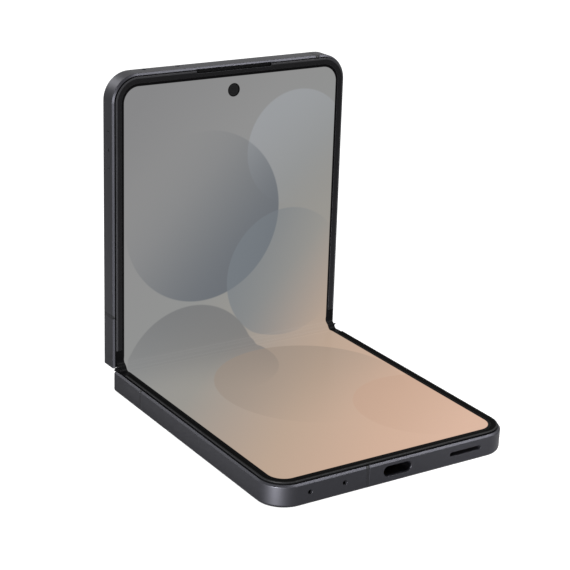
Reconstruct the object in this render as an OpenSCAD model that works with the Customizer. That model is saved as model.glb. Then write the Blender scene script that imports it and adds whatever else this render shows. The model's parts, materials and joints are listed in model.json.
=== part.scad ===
// Clamshell folding phone, standing open at about a right angle.
// The lower half lies flat on its back glass and the upper half stands up behind it.
// Lengths are in millimetres. The origin is the centre of the lower half's back face.
// Each half is drawn in a frame of its own: x across the phone, y from the fold line out
// to the free end, z from the back glass up to the top of the display rim.

/* [Body] */
// Width of the phone, along the fold
body_w = 75.2; // [72:0.2:80]
// Length of one half, from the fold line to its free end
half_l = 84; // [82:0.5:88]
// Thickness of one half, from its back glass to the top of the display rim
half_t = 6.8; // [6.7:0.1:7.4]
// Radius of the outer corners at the free ends
corner_r = 7.7; // [6.5:0.1:9]
// Angle between the two screens as the phone stands
open_angle = 90.7; // [86:0.1:110]

/* [Frame] */
// Thickness of the metal rail wall
rail_t = 2.2; // [2:0.1:2.6]
// Thickness of the thin rail lip beside the display rim
lip_t = 0.7; // [0.6:0.05:0.75]
// Depth of the rail's lip below the top of the display rim
lip_drop = 0.6; // [0.5:0.05:0.7]
// Bevel along the front edge of the rail
rail_bevel = 0.5; // [0.3:0.05:0.55]
// Half of the gap between the two rails when the phone lies flat
end_gap = 0.15; // [0.1:0.05:0.2]
// Thickness of the plate that carries the display in each half
plate_t = 0.6; // [0.5:0.05:0.7]

/* [Screen and glass] */
// Thickness of the glass on each back
glass_t = 0.55; // [0.5:0.05:0.6]
// Distance from the rail's outer face to the back glass
glass_inset = 0.95; // [0.9:0.05:1.1]
// Thickness of the folding display panel
display_t = 0.9; // [0.8:0.05:1]
// Depth of the screen surface below the top of the rim
screen_drop = 0.25; // [0.2:0.05:0.3]
// Thickness of the metal support plate under the display
support_t = 0.3; // [0.2:0.05:0.35]
// Width of the plastic rim that frames the display
rim_w = 1.85; // [1.6:0.05:2]
// Length of display on each side of the fold that is free to bend
fold_zone = 6; // [5.5:0.25:6.5]
// Radius of the front camera's window in the screen
punch_r = 1.8; // [1.5:0.1:2]
// Distance from the free end to the front camera
punch_inset = 7.2; // [6.5:0.1:7.5]

/* [Hinge] */
// Gap between the two rims when the phone is shut
shut_gap = 1.7; // [1.5:0.1:1.9]
// Depth of the hinge axes below the top of the rim
axis_drop = 1; // [0.9:0.05:1.1]
// Height of the spine cover above the back glass when the phone lies flat
spine_lift = 1.3; // [1.2:0.05:1.4]
// Wall of the spine cover
spine_wall = 0.6; // [0.5:0.05:0.7]
// Clearance round the spine cover in its trough
trough_gap = 0.3; // [0.25:0.05:0.35]
// Width of rail that hides each end of the spine
cheek_t = 2.6; // [2.4:0.1:3]
// Teeth on each small idler gear
idler_teeth = 8; // [8:1:9]
// Teeth that a full turn of each bracket sector would have
sector_teeth = 13; // [12:1:14]
// Radius of the idler gear shafts
shaft_r = 0.45; // [0.4:0.05:0.5]
// Running clearance of shafts and sliding rails
run_gap = 0.05; // [0.03:0.01:0.08]

/* [Ports and keys] */
// Width of the USB-C opening
usb_w = 8.8; // [8.7:0.1:9.1]
// Height of the USB-C opening
usb_h = 3; // [2.9:0.1:3.2]
// Length of the loudspeaker slot
speaker_w = 10.2; // [9:0.2:12]
// Distance from the phone's right side to the loudspeaker slot's centre
speaker_inset = 15.6; // [15:0.2:16.4]
// Radius of the small microphone holes
mic_r = 0.65; // [0.4:0.05:0.7]
// Length of the volume key
volume_l = 20; // [17:0.5:21]
// Distance from the free end to the middle of the volume key
volume_inset = 18.5; // [18:0.5:20]
// Length of the side key
side_l = 12; // [10:0.5:13]
// Distance from the free end to the middle of the side key
side_inset = 40; // [39:0.5:41]
// How far the keys go in
key_travel = 0.25; // [0.2:0.05:0.3]
// Length of the card tray's face
tray_w = 10.4; // [10:0.1:10.8]
// Distance from the free end to the middle of the card tray
tray_inset = 20.8; // [20:0.1:21.5]

/* [Rear cameras] */
// Radius of each camera ring on the back
ring_r = 7; // [6:0.25:7.5]
// Height of the camera rings above the back glass
ring_h = 1.1; // [0.8:0.1:1.4]
// Distance from the free end to the rear cameras
camera_inset = 13.5; // [12.5:0.5:14]
// Distance between the middles of the two rear cameras
camera_pitch = 14.8; // [14.6:0.1:16]

/* [Hidden] */
$fn = 64;

// Colours, as the photographed finish shows them
graphite = "#56555c";
black = "#161619";
steel = "#a9abb0";
board_green = "#1f4a36";

// Levels in one half, from the back glass to the rim
screen_z = half_t - screen_drop;
display_z = screen_z - display_t;
support_z = display_z - support_t;
plate_z = support_z - plate_t;
lip_z = half_t - lip_drop;
port_z = half_t / 2;
seat_gap = 0.05;
display_inset = lip_t + 0.2;
rim_inset = lip_t + seat_gap;
punch_y = half_l - punch_inset;
volume_y = half_l - volume_inset;
side_y = half_l - side_inset;
tray_y = half_l - tray_inset;
camera_y = half_l - camera_inset;
speaker_x = body_w / 2 - speaker_inset;

// Hinge geometry: one axis in each half, beside the fold line and just under the screen
half_fold = (180 - open_angle) / 2;
hinge_y = half_l / 2;
axis_z = half_t - axis_drop;
axis_y = axis_drop + shut_gap / 2;
spine_r = axis_z - spine_lift;
spine_top = axis_z - 1.5;
trough_r = spine_r + trough_gap;
trough_w = body_w - 2 * cheek_t;
spine_w = trough_w - 0.4;
cap_t = 0.5;
shell_half = spine_w / 2 - cap_t;
hinge_l = 20.5;
hinge_x = shell_half - hinge_l;
beam_y = axis_y + trough_r + 0.85;
land_z = spine_top + 0.1;
land_floor = land_z - 1.4;
land_end = beam_y + 5.7;
arm_gap = 0.15;

// Frame placing: the half frames and the spine frame in the standing phone
module about(y, z, angle)
    translate([0, y, z]) rotate([angle, 0, 0]) translate([0, -y, -z]) children();
module at_lower() translate([0, hinge_y, 0]) mirror([0, 1, 0]) children();
module at_spine()
    translate([0, hinge_y, 0]) about(-axis_y, axis_z, half_fold) children();
module at_upper()
    translate([0, hinge_y, 0]) about(-axis_y, axis_z, half_fold)
        about(axis_y, axis_z, half_fold) children();
module both_sides() {
    children();
    mirror([1, 0, 0]) children();
}

// Flat outline of one half, drawn in from the rail's outer face
module plan(inset, y0) {
    cr = corner_r - inset;
    w = body_w - 2 * inset;
    l = half_l - inset;
    translate([-w / 2, y0]) square([w, l - cr - y0]);
    translate([-w / 2 + cr, y0]) square([w - 2 * cr, l - y0]);
    for (s = [-1, 1]) translate([s * (w / 2 - cr), l - cr]) circle(cr);
}
module slab(inset, y0, z, t)
    translate([0, 0, z]) linear_extrude(t) plan(inset, y0);

// A section carried along the rail: its x is the distance in from the outer face
module along_rail(y0) {
    cx = body_w / 2 - corner_r;
    cy = half_l - corner_r;
    both_sides() translate([cx, cy, 0]) {
        rotate([90, 0, 0]) linear_extrude(cy - y0) rail_side() children();
        rotate_extrude(angle = 90) rail_side() children();
    }
    translate([-cx, cy, 0]) rotate([0, 0, 90]) rotate([90, 0, 0])
        linear_extrude(2 * cx) rail_side() children();
}
module rail_side() translate([corner_r, 0]) mirror([1, 0]) children();

// Section in the y-z plane, carried along x
module along_x(x0, x1) translate([x0, 0, 0]) rotate([90, 0, 90])
    linear_extrude(x1 - x0) children();
module pill(w, h) {
    translate([-(w - h) / 2, -h / 2]) square([w - h, h]);
    for (s = [-1, 1]) translate([s * (w - h) / 2, 0]) circle(h / 2);
}
module rounded(w, l, r) {
    translate([-w / 2 + r, -l / 2]) square([w - 2 * r, l]);
    translate([-w / 2, -l / 2 + r]) square([w, l - 2 * r]);
    for (sx = [-1, 1], sy = [-1, 1])
        translate([sx * (w / 2 - r), sy * (l / 2 - r)]) circle(r);
}
// A hole or plug that runs in through the wall at the free end
module end_pill(x, z, w, h, depth)
    translate([x, half_l + 1, z]) rotate([90, 0, 0]) linear_extrude(depth + 1) pill(w, h);
module end_hole(x, z, r)
    translate([x, half_l + 1, z]) rotate([90, 0, 0]) cylinder(r = r, h = rail_t + 2);
// A hole or plug that runs in through the right-hand wall
module side_pill(y, z, w, h, x0, x1)
    translate([x0, y, z]) rotate([90, 0, 90]) linear_extrude(x1 - x0) pill(w, h);

// ---- frames ----

// Back corner, flat side, front bevel, thin lip, and the ledges for display and glass
back_edge = [[0, 0.95], [0.12, 0.5], [0.4, 0.16], [0.7, 0.05]];
module rail_section() polygon(concat(back_edge, [
    [glass_inset - seat_gap, 0.05], [glass_inset - seat_gap, glass_t],
    [rail_t, glass_t], [rail_t, support_z], [lip_t, support_z], [lip_t, lip_z],
    [rail_bevel, lip_z], [0, lip_z - rail_bevel]]));

// Screw posts that hang from the display plate and carry the boards
post_r = 1.7;
post_bore = 0.75;
board_t = 0.8;
board_z = 1.9;
post_x = body_w / 2 - 6.1;
board_start = side_y + 1.5;
lower_posts = [[-post_x, half_l - 6.5], [-17, half_l - 14.2], [9, half_l - 14.2]];
upper_posts = [[-post_x, half_l - 7], [-post_x, board_start + 3],
    [post_x - 0.5, board_start + 3], [-13.5, half_l - 22]];
board_top = board_z + board_t;

module posts(places) for (p = places) translate([p[0], p[1], board_top])
    difference() {
        cylinder(r = post_r, h = plate_z - board_top + 0.1);
        translate([0, 0, -1]) cylinder(r = post_bore, h = 2.5);
    }

// Trough in which the spine cover turns
module trough() along_x(-trough_w / 2, trough_w / 2) {
    translate([axis_y, axis_z]) circle(trough_r);
    translate([-1, spine_lift - trough_gap]) square([axis_y + 1, axis_z]);
}

// Screws that hold the hinge brackets to the frame, per side
bracket_screws = [for (x = [3.7, 9.3, 18.2]) [hinge_x + x, land_end - 2.6]];
bracket_bore = 0.6;

module half_frame(places) {
    beam_w = body_w - 2 * rail_t + 1;
    difference() {
        union() {
            along_rail(end_gap) rail_section();
            slab(rail_t - 0.3, land_end, plate_z, plate_t);
            translate([-beam_w / 2, end_gap, seat_gap])
                cube([beam_w, glass_end - seat_gap - end_gap, land_z - seat_gap]);
            translate([-beam_w / 2, end_gap, glass_t])
                cube([beam_w, land_end - end_gap, land_z - glass_t]);
            translate([-beam_w / 2, land_end - 1, land_floor])
                cube([beam_w, 2, plate_z + plate_t - land_floor]);
            posts(places);
        }
        trough();
        translate([-beam_w / 2 + 0.5, beam_y, glass_t - 1])
            cube([beam_w - 1, land_end - beam_y + 2, land_floor - glass_t + 1]);
        both_sides() for (p = bracket_screws)
            translate([p[0], p[1], 0]) cylinder(r = bracket_bore, h = land_z + 1);
    }
}

mic_inset = 10.9;
mic_pitch = 10.4;
mic_x = [mic_inset - body_w / 2, mic_inset + mic_pitch - body_w / 2];
module lower_frame() color(graphite) at_lower() difference() {
    half_frame(lower_posts);
    end_pill(0, port_z, usb_w, usb_h, rail_t + 1);
    end_pill(speaker_x, port_z, speaker_w, speaker_h, rail_t + 1);
    for (x = mic_x) end_hole(x, port_z, mic_r);
    translate([-socket_w / 2 - 0.2, inner_end - socket_l - 0.2, port_z])
        cube([socket_w + 0.4, socket_l + 0.2, half_t]);
    lower_band_cuts();
}
speaker_h = 1.2;

// Plastic bands let radio waves through the metal rail
band_w = 1;
band_depth = 0.8;
side_band_y = 15.4;
end_band_x = -9.3;
module band_at_side(y) both_sides()
    translate([body_w / 2 - band_depth, y - band_w / 2, 0]) cube([band_depth + 1, band_w, half_t]);
module band_at_end(x)
    translate([x - band_w / 2, half_l - band_depth, 0]) cube([band_w, band_depth + 1, half_t]);
module lower_band_cuts() {
    band_at_side(side_band_y);
    band_at_end(end_band_x);
}
module lower_antenna_bands() color("#3a3a40") at_lower() intersection() {
    along_rail(end_gap) rail_section();
    lower_band_cuts();
}
upper_band_x = body_w / 2 - 9.6;
module upper_band_cuts() {
    band_at_side(side_band_y);
    band_at_end(upper_band_x);
}
module upper_antenna_bands() color("#3a3a40") at_upper() intersection() {
    along_rail(end_gap) rail_section();
    upper_band_cuts();
}

// ---- rims: thin plastic frames laid on the display's black border ----

module rim_section() polygon([
    [rim_inset, screen_z], [rim_inset, half_t - 0.08], [rim_inset + 0.1, half_t],
    [rim_inset + 0.45, half_t], [rim_inset + rim_w, screen_z + 0.08],
    [rim_inset + rim_w, screen_z]]);
rim_end = 5.5;
module lower_rim() color(black) at_lower() along_rail(rim_end) rim_section();

// Sound leaves the earpiece through a slot between the upper rail and the rim
ear_w = 24.2;
ear_y = half_l - 1.5;
ear_depth = 1.05;
ear_z = lip_z - 0.2;
module ear_slot()
    translate([-ear_w / 2, ear_y, ear_z]) cube([ear_w, ear_depth, 2]);
module upper_rim() color(black) at_upper() difference() {
    along_rail(rim_end) rim_section();
    ear_slot();
}

// ---- back glasses ----

glass_end = 1.5;
module lower_back_glass() color("#2b2b30") at_lower() slab(glass_inset, glass_end, 0, glass_t);

// The upper back glass covers the outer display and has a window cut for each camera
front_body = 5;
camera_body = 10.6;
camera_gap = 1.7;
inner_camera_x = (front_body + camera_body) / 2 + camera_gap;
camera_x = [inner_camera_x + camera_pitch, inner_camera_x];
window_r = ring_r - 0.9;
flash_x = -1.6;
flash_r = 1.9;
module upper_back_glass() color(black) at_upper() difference() {
    slab(glass_inset, glass_end, 0, glass_t);
    for (x = camera_x) translate([x, camera_y, -1]) cylinder(r = ring_r - 0.5, h = 3);
    translate([flash_x, camera_y, -1]) cylinder(r = flash_r + seat_gap, h = 3);
}

// ---- inner display ----

module display_panel() slab(display_inset, fold_zone, display_z, display_t);
module lower_display() color("#c9a58c") at_lower() display_panel();
module upper_display() color("#8f9092") at_upper() difference() {
    display_panel();
    translate([0, punch_y, display_z - 1]) cylinder(r = punch_r, h = display_t + 2);
    ear_slot();
}

// The support plates stop just short of the fold
support_end = 0.9;
module support_plate() slab(display_inset, support_end, support_z, support_t);
module lower_support_plate() color(steel) at_lower() support_plate();
module upper_support_plate() color(steel) at_upper() difference() {
    support_plate();
    translate([0, punch_y, support_z - 1]) cylinder(r = punch_r, h = support_t + 2);
}

// A sheet that crosses the fold: v is its top face's height above the hinge axes, and
// each half's plane runs to a corner on the fold's middle plane, which the bend rounds off
function corner_v(v) = (v - axis_y * sin(half_fold)) / cos(half_fold);
// The bend is drawn in short straight steps, so that it joins each straight run exactly
bend_steps = 24;
function in_spine(y, v) = [axis_y + (y - axis_y) * cos(half_fold) - v * sin(half_fold),
    axis_z + (y - axis_y) * sin(half_fold) + v * cos(half_fold)];
function flipped(p) = [-p[0], p[1]];
// foot lists the corners of the sheet's end below its top face, from the end inwards
module bent_sheet(v, t, r, y_end, foot, x0, x1) {
    centre = [0, axis_z + corner_v(v) + r / cos(half_fold)];
    steps = [for (i = [0 : bend_steps]) half_fold * (2 * i / bend_steps - 1)];
    top_end = in_spine(y_end, v);
    low_end = [for (p = foot) in_spine(p[0], p[1])];
    at_spine() along_x(x0, x1) polygon(concat([flipped(top_end)],
        [for (a = steps) centre + r * [sin(a), -cos(a)]], [top_end], low_end,
        [for (a = steps) centre + (r + t) * [-sin(a), -cos(a)]],
        [for (i = [len(low_end) - 1 : -1 : 0]) flipped(low_end[i])]));
}

// The free part of the display: the middle of its bend keeps the height it has when flat
screen_v = screen_z - axis_z;
fold_r = (screen_v - corner_v(screen_v)) * cos(half_fold) / (1 - cos(half_fold));
fold_half_w = body_w / 2 - display_inset;
module display_fold() color("#a9978a")
    bent_sheet(screen_v, display_t, fold_r, fold_zone, [[fold_zone, screen_v - display_t]],
        -fold_half_w, fold_half_w);

// Two flexible circuits join the boards across the fold, between the hinge blocks
flex_x0 = 3;
flex_w = hinge_x - 2.8 - flex_x0;
flex_t = 0.2;
flex_r = 2;
flex_z = land_z + 0.55;
flex_end = land_end - 1.6;
flex_v = flex_z - axis_z;
pad_start = flex_end - 3;
pad_v = land_z - axis_z;
module fold_flex() color("#7a5a22") both_sides()
    bent_sheet(flex_v, flex_t, flex_r, flex_end,
        [[flex_end, pad_v], [pad_start, pad_v], [pad_start, flex_v - flex_t]],
        flex_x0, flex_x0 + flex_w);

// ---- spine ----

module spine_section(inset) intersection() {
    r = spine_r - inset;
    union() {
        for (s = [-1, 1]) translate([s * axis_y, axis_z]) circle(r);
        translate([-axis_y, axis_z - r]) square([2 * axis_y, r]);
    }
    translate([-2 * spine_r, 0]) square([4 * spine_r, spine_top]);
}
module spine_cover() color(graphite) at_spine() along_x(-shell_half, shell_half)
    difference() {
        spine_section(0);
        spine_section(spine_wall);
    }
module spine_end_caps() color(black) at_spine() both_sides()
    along_x(shell_half, shell_half + cap_t) spine_section(0);

// Thin blades close the gap that is left between the two rails beyond each end of the spine
seal_t = 0.14;
seal_start = shell_half + cap_t + seat_gap;
seal_step = body_w / 2 - display_inset + 0.15;
seal_end = body_w / 2 - 0.2;
module hinge_end_seals() color(black) at_spine() both_sides()
    translate([0, seal_t / 2, 0]) rotate([90, 0, 0]) linear_extrude(seal_t) polygon([
        [seal_start, spine_top - 1.2], [seal_end, spine_top + 0.4], [seal_end, screen_z - 0.05],
        [seal_step, screen_z - 0.05], [seal_step, display_z - 0.2],
        [seal_start, display_z - 0.2]]);

// Gear train: bracket sector, idlers 1 to 4, bracket sector. The train lies in one row
// under the screen, and each sector meets its idler at mesh_angle below the half's plane.
// A sector also reaches over the next idler, so the middle idlers are half as wide and
// mesh beside the sectors.
mesh_angle = 65;
gear_module = axis_y / ((3 - cos(mesh_angle)) * idler_teeth / 2
    - cos(mesh_angle) * sector_teeth / 2);
idler_r = gear_module * idler_teeth / 2;
sector_r = gear_module * sector_teeth / 2;
gear_z = axis_z - (idler_r + sector_r) * sin(mesh_angle);
tip_add = 0.7 * gear_module;
root_cut = 1.1 * gear_module;
tip_r = idler_r + tip_add;
pressure = 22;

// Places along x of the parts in each hinge module
clip_x = [hinge_x + 1, hinge_x + 6.8];
gear_x = [hinge_x + 7.4, hinge_x + 10.6];
inner_rail_x = [hinge_x + 11.7, hinge_x + 15.5];
outer_rail_x = [hinge_x + 16.5, shell_half - 0.1];
block_x = [hinge_x, shell_half - 0.05];
rail_r = [2.2, 3.2];
rail_play = 2 * run_gap;

// Tooth phases in the flat phone, passed along the train so that tooth meets gap
idler_step = 360 / idler_teeth;
phase_1 = mesh_angle + idler_step / 2;
phase_2 = 180 - phase_1 + idler_step / 2;
phase_3 = 180 - phase_2 + idler_step / 2;
phase_4 = 180 - phase_3 + idler_step / 2;
lower_sector_phase = -mesh_angle;
upper_sector_phase = -mesh_angle + 180 / sector_teeth
    - (phase_4 - 180 + mesh_angle) * idler_teeth / sector_teeth;

function roll(angle) = tan(angle) * 180 / PI - angle;
// Half the angle that a tooth takes up at radius r
function tooth_half(r, pitch_r, teeth) =
    let (base = pitch_r * cos(pressure), at = max(r, base + 0.0001))
    90 / teeth * 0.86 + roll(pressure) - roll(acos(base / at));
function polar(r, angle) = r * [cos(angle), sin(angle)];
module gear_outline(teeth, pitch_r, phase) {
    root = pitch_r - root_cut;
    base = pitch_r * cos(pressure);
    radii = [max(root, base), pitch_r, pitch_r + tip_add / 2, pitch_r + tip_add];
    polygon([for (i = [0 : teeth - 1]) let (c = phase + i * 360 / teeth) each concat(
        [polar(root, c - tooth_half(radii[0], pitch_r, teeth))],
        [for (r = radii) polar(r, c - tooth_half(r, pitch_r, teeth))],
        [for (k = [3 : -1 : 0]) polar(radii[k], c + tooth_half(radii[k], pitch_r, teeth))],
        [polar(root, c + tooth_half(radii[0], pitch_r, teeth))])]);
}

// An idler turns sector_teeth / idler_teeth times as far as the halves fold
gear_split = (gear_x[0] + gear_x[1]) / 2;
module idler(place, phase, turn) color("#b8a06a") at_spine() both_sides()
    translate([0, place * idler_r, gear_z]) {
        along_x(abs(place) == 1 ? gear_split + 0.1 : gear_x[0] + 0.2, gear_x[1] - 0.2)
            gear_outline(idler_teeth, idler_r,
                phase + turn * half_fold * sector_teeth / idler_teeth);
        along_x(block_x[0] + 0.1, inner_rail_x[0] - 0.3) circle(shaft_r);
    }
module idler_gear_1() idler(-3, phase_1, 1);
module idler_gear_2() idler(-1, phase_2, -1);
module idler_gear_3() idler(1, phase_3, 1);
module idler_gear_4() idler(3, phase_4, -1);

idler_places = [-3, -1, 1, 3];
pocket_floor = gear_z - tip_r - 0.1;

// Each block carries the idler shafts and holds the curved rails of the brackets
module hinge_blocks() color(steel) at_spine() both_sides() difference() {
    along_x(block_x[0], block_x[1]) spine_section(spine_wall + 0.05);
    for (x = [clip_x, gear_x])
        translate([x[0], -2 * spine_r, pocket_floor])
            cube([x[1] - x[0], 4 * spine_r, spine_r]);
    for (p = idler_places)
        along_x(block_x[0] - 1, inner_rail_x[0] - 0.25)
            translate([p * idler_r, gear_z]) circle(shaft_r + run_gap);
    along_x(inner_rail_x[0], inner_rail_x[1]) translate([-axis_y, axis_z]) rail_ring(rail_play);
    along_x(outer_rail_x[0], outer_rail_x[1] + 1) translate([axis_y, axis_z]) rail_ring(rail_play);
}
module rail_ring(play) difference() {
    circle(rail_r[1] + play);
    circle(rail_r[0] - play);
}

// Friction clips grip the idler shafts, so that the phone stays at any angle
clip_wall = 0.3;
clip_l = 2.3;
module torque_clips() color("#6f7276") at_spine() both_sides()
    for (p = idler_places, x = [clip_x[0] + 0.4, clip_x[1] - 0.4 - clip_l])
        along_x(x, x + clip_l) translate([p * idler_r, 0]) difference() {
            union() {
                translate([0, gear_z]) circle(shaft_r + 0.02 + clip_wall);
                translate([-clip_wall, pocket_floor])
                    square([2 * clip_wall, gear_z - pocket_floor]);
            }
            translate([0, gear_z]) circle(shaft_r + 0.02);
            translate([-0.15, gear_z]) square([0.3, spine_r]);
        }

// Hinge bracket, drawn for the right-hand side of one half: a plate that is screwed to the
// frame, a curved rail that turns in the block, and a gear sector that keeps both in step
rail_span = [-165, -13];
sector_span = [-163, -56];
module wedge(r, span) polygon(concat([[0, 0]],
    [for (k = [0 : 4]) polar(2 * r, span[0] + (span[1] - span[0]) * k / 4)]));
module bracket(rail_x, phase) {
    arm_y = axis_y + 1.9;
    difference() {
        union() {
            translate([block_x[0], beam_y - 0.2, land_z])
                cube([trough_w / 2 - block_x[0], land_end - 1.1 - beam_y + 0.2, support_z - land_z]);
            translate([rail_x[0] + 0.1, arm_y + 0.3, land_z])
                cube([rail_x[1] - rail_x[0] - 0.2, beam_y - arm_y, support_z - land_z]);
            translate([gear_x[0] + 0.2, axis_y - 0.8, gear_z + tip_r + 0.12])
                cube([gear_x[1] - gear_x[0] - 0.4, beam_y - axis_y + 1.3,
                    support_z - gear_z - tip_r - 0.12]);
            translate([0, axis_y, axis_z]) {
                along_x(rail_x[0] + 0.1, rail_x[1] - 0.1) intersection() {
                    rail_ring(0);
                    wedge(rail_r[1], rail_span);
                }
                along_x(gear_x[0] + 0.2, gear_split - 0.1) intersection() {
                    gear_outline(sector_teeth, sector_r, phase);
                    wedge(sector_r + 1, sector_span);
                    translate([-2 * spine_r, -2 * spine_r])
                        square([4 * spine_r, 2 * spine_r + support_z - axis_z]);
                }
            }
        }
        for (p = bracket_screws) translate([p[0], p[1], 0]) {
            cylinder(r = bracket_bore + seat_gap, h = half_t);
            translate([0, 0, support_z - screw_head_h]) cylinder(r = screw_head_r + seat_gap, h = 2);
        }
    }
}
screw_head_r = 1;
screw_head_h = 0.45;
module lower_hinge_brackets() color("#85888d") at_lower() both_sides()
    bracket(inner_rail_x, lower_sector_phase);
module upper_hinge_brackets() color("#85888d") at_upper() both_sides()
    bracket(outer_rail_x, upper_sector_phase);

// ---- screws ----

module bracket_screw() {
    translate([0, 0, support_z - screw_head_h]) cylinder(r = screw_head_r, h = screw_head_h);
    translate([0, 0, land_floor + 0.2])
        cylinder(r = bracket_bore - seat_gap, h = support_z - screw_head_h - land_floor - 0.2);
}
board_head_r = 1.3;
board_head_h = 0.5;
module board_screw() {
    translate([0, 0, board_z - board_head_h]) cylinder(r = board_head_r, h = board_head_h);
    translate([0, 0, board_z]) cylinder(r = post_bore - seat_gap, h = board_t + 1.2);
}
module half_screws(places) {
    both_sides() for (p = bracket_screws) translate([p[0], p[1], 0]) bracket_screw();
    for (p = places) translate([p[0], p[1], 0]) board_screw();
}
module lower_screws() color("silver") at_lower() half_screws(lower_posts);
module upper_screws() color("silver") at_upper() half_screws(upper_posts);

// ---- inside the lower half ----

inner_w = body_w - 2 * rail_t - 0.4;
inner_end = half_l - rail_t;
inner_x = body_w / 2 - rail_t - 0.5;
magnet = [2.8, 14, 2.6];
magnet_x = body_w / 2 - rail_t - 0.8 - magnet[0];
magnet_y = 20;
lower_board_l = 14.8;
lower_board_y = inner_end - lower_board_l;
battery_z = 1.1;
battery_gap = 2.8;
battery_w = 2 * (magnet_x - battery_gap);
battery_y = land_end + 1.4;
battery_seat = 0.6;
module battery(y1) translate([0, (battery_y + y1) / 2, battery_z])
    linear_extrude(plate_z - battery_z) rounded(battery_w, y1 - battery_y, 1.2);
motor = [13, 4.6, 3.1];
motor_x = body_w / 2 - 15.6;
motor_y = lower_board_y - 1 - motor[1];
module lower_battery() color("#3b3f45") at_lower() battery(motor_y - battery_seat);

// Flat ring of wound copper for wireless charging, stuck inside the back glass
coil_r = 20.5;
coil_bore = 9.5;
coil_inset = 46;
coil_y = half_l - coil_inset;
module charging_coil() color("#b06a3a") at_lower() translate([0, coil_y, glass_t])
    difference() {
        cylinder(r = coil_r, h = 0.3);
        translate([0, 0, -1]) cylinder(r = coil_bore, h = 3);
    }

// The socket sits in a notch in the lower board, which also leaves room for the loudspeaker
speaker_box_x = 12.5;
socket_w = usb_w - 2 * seat_gap;
socket_h = usb_h - 2 * seat_gap;
socket_l = 7.4;
module board_holes(places) for (p = places)
    translate([p[0], p[1], 0]) cylinder(r = post_bore + 0.1, h = half_t);
module lower_board() color(board_green) at_lower() difference() {
    translate([-inner_w / 2, lower_board_y, board_z])
        cube([inner_w / 2 + speaker_box_x - 0.6, inner_end - 0.2 - lower_board_y, board_t]);
    translate([-socket_w / 2 - 0.2, inner_end - socket_l - 0.2, 0]) cube([socket_w + 0.4, 20, half_t]);
    both_sides() translate([body_w / 2 - corner_r, half_l - corner_r, 0]) corner_cut();
    board_holes(lower_posts);
}
// What a board loses at the phone's rounded corner
module corner_cut() {
    r = corner_r - rail_t - 0.3;
    translate([0, 0, -1]) linear_extrude(half_t + 2) difference() {
        square(corner_r + 1);
        circle(r);
    }
}
// The shell runs on through the rail, and its mouth lies just behind the rail's outer face
usb_wall = 0.2;
usb_mouth = 0.35;
module usb_socket() color("silver") at_lower()
    translate([0, half_l - usb_mouth, port_z]) rotate([90, 0, 0]) difference() {
        socket_end = rail_t - usb_mouth + socket_l;
        linear_extrude(socket_end) pill(socket_w, socket_h);
        translate([0, 0, -1]) linear_extrude(socket_end - usb_wall + 1)
            pill(socket_w - 2 * usb_wall, socket_h - 2 * usb_wall);
    }
tongue_l = 4.6;
module usb_tongue() color("#202020") at_lower()
    translate([-3.35, inner_end - socket_l + usb_wall, port_z - 0.35])
        cube([6.7, tongue_l, 0.7]);

// Sealed loudspeaker box, with a fine mesh between it and the slot
speaker_box_l = 18;
speaker_box_z = 1.2;
module loudspeaker() color("#26262a") at_lower() difference() {
    translate([speaker_box_x, inner_end - speaker_box_l, speaker_box_z])
        cube([inner_w / 2 - speaker_box_x, speaker_box_l - mesh_t, plate_z - speaker_box_z]);
    translate([body_w / 2 - corner_r, half_l - corner_r, 0]) corner_cut();
}
mesh_t = 0.15;
module loudspeaker_mesh() color("#0c0c0e") at_lower()
    translate([speaker_x, inner_end, port_z]) rotate([90, 0, 0])
        linear_extrude(mesh_t) pill(speaker_w + 2 * mesh_lap, speaker_h + 2 * mesh_lap);
mesh_lap = 0.6;
module vibration_motor() color("silver") at_lower()
    translate([-motor_x, motor_y + motor[1] / 2 + 0.1, plate_z - motor[2]])
        linear_extrude(motor[2]) rounded(motor[0], motor[1], 1);
module lower_microphones() color("#c9b26a") at_lower() for (x = mic_x)
    translate([x - 1.4, inner_end - 2.4, board_top]) cube([2.8, 2.2, 1.1]);

// Magnets hold the shut halves together
module magnets() both_sides() translate([magnet_x, magnet_y, plate_z - magnet[2]]) cube(magnet);
module lower_magnets() color("#8f9296") at_lower() magnets();

// ---- inside the upper half ----

module upper_frame() color(graphite) at_upper() difference() {
    half_frame(upper_posts);
    for (x = upper_mic_x) end_hole(x, upper_mic_z, mic_r);
    ear_slot();
    translate([0, punch_y, 0]) cylinder(r = lens_r + 0.3, h = half_t);
    side_pill(volume_y, port_z, volume_l + 2 * key_gap, key_h + 2 * key_gap, inner_x, body_w);
    side_pill(side_y, port_z, side_l + 2 * key_gap, key_h + 2 * key_gap, inner_x, body_w);
    mirror([1, 0, 0])
        side_pill(tray_y, tray_z, tray_w + 2 * tray_gap, tray_h + 2 * tray_gap, inner_x, body_w);
    upper_band_cuts();
}
upper_mic_x = [mic_x[0] + 0.7, mic_x[1] + 0.8];
upper_mic_z = 2;
module upper_battery() color("#3b3f45") at_upper() battery(board_start - battery_seat);
module upper_magnets() color("#8f9296") at_upper() magnets();

// The outer display lies behind the back glass, clear of the cameras
cover_t = 0.45;
cover_start = beam_y + 0.5;
cover_end = camera_y - ring_r - 1.2;
module cover_display() color("#101013") at_upper()
    translate([0, (cover_start + cover_end) / 2, glass_t]) linear_extrude(cover_t)
        rounded(inner_w - 1, cover_end - cover_start, 3);

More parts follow.
